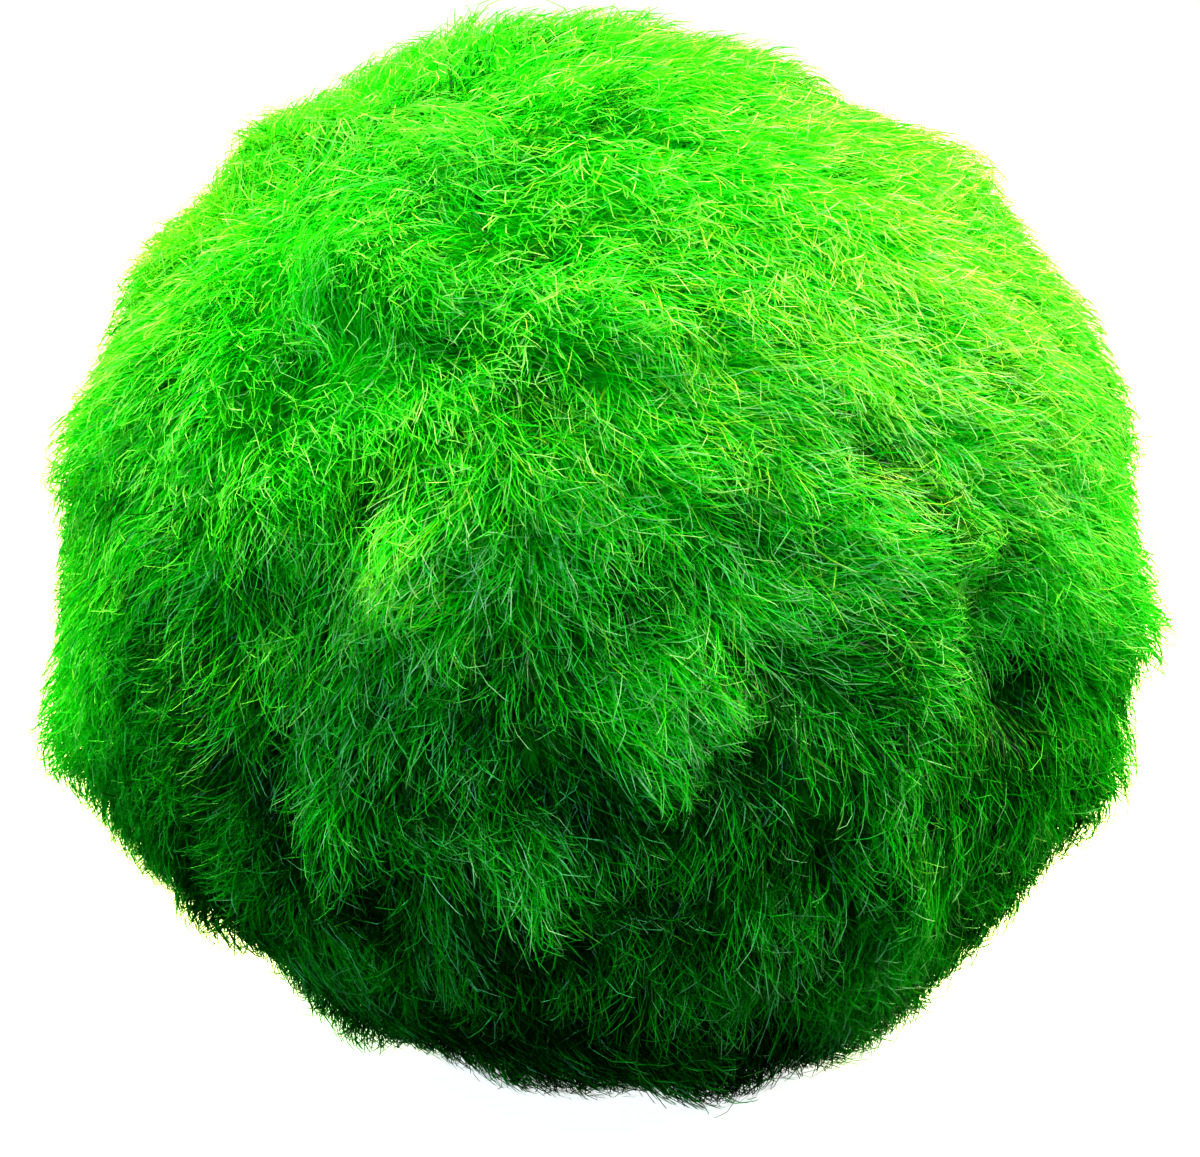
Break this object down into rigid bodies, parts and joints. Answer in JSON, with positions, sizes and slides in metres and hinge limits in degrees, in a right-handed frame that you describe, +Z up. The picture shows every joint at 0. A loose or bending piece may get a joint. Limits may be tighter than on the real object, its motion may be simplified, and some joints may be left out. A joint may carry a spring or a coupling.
{
  "type": "marimo moss ball",
  "caption": "Round ball of fine green algal threads, combed into overlapping locks, that rests on a small flat spot.",
  "frame": {"origin": "on the ground, under the middle of the ball's bounding box", "axes": "+Z up, -Y towards the side that the picture shows, +X to the right of that side"},
  "size_m": [0.0426, 0.0424, 0.0413],
  "materials": {
    "green_threads": "matt, soft mass of fine algal threads, bright green at the tips and near black between the locks"
  },
  "bodies": {
    "root": {"moss_ball": "green_threads"}
  },
  "joints": []
}
